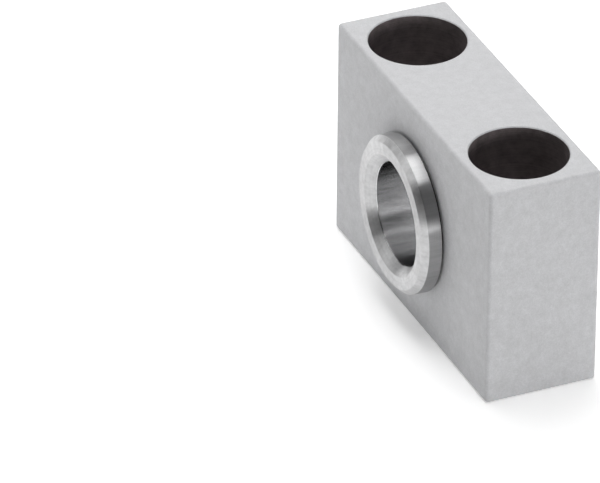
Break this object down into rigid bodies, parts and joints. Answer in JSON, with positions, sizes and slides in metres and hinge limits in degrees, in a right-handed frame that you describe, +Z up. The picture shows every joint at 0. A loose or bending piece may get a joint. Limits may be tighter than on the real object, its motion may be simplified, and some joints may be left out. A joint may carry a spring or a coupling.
{
  "type": "shaft support block",
  "caption": "Rectangular support block with a pressed-in collared bush for a shaft or trunnion, bolted down through two counterbored holes.",
  "frame": {"origin": "centre of the mounting face, midway between the two screw holes and in the middle of the block's thickness", "axes": "+X along the block, through both screw holes; -Y along the shaft bore, out of the collar side; +Z up from the mounting face, along the screw holes"},
  "size_m": [0.055, 0.0214, 0.036],
  "materials": {
    "block": "satin machined and blasted, bare, fine speckle",
    "bush": "bright turned, fine circular tool marks"
  },
  "bodies": {
    "root": {"support_block": "block", "bearing_bush": "bush"}
  },
  "joints": []
}
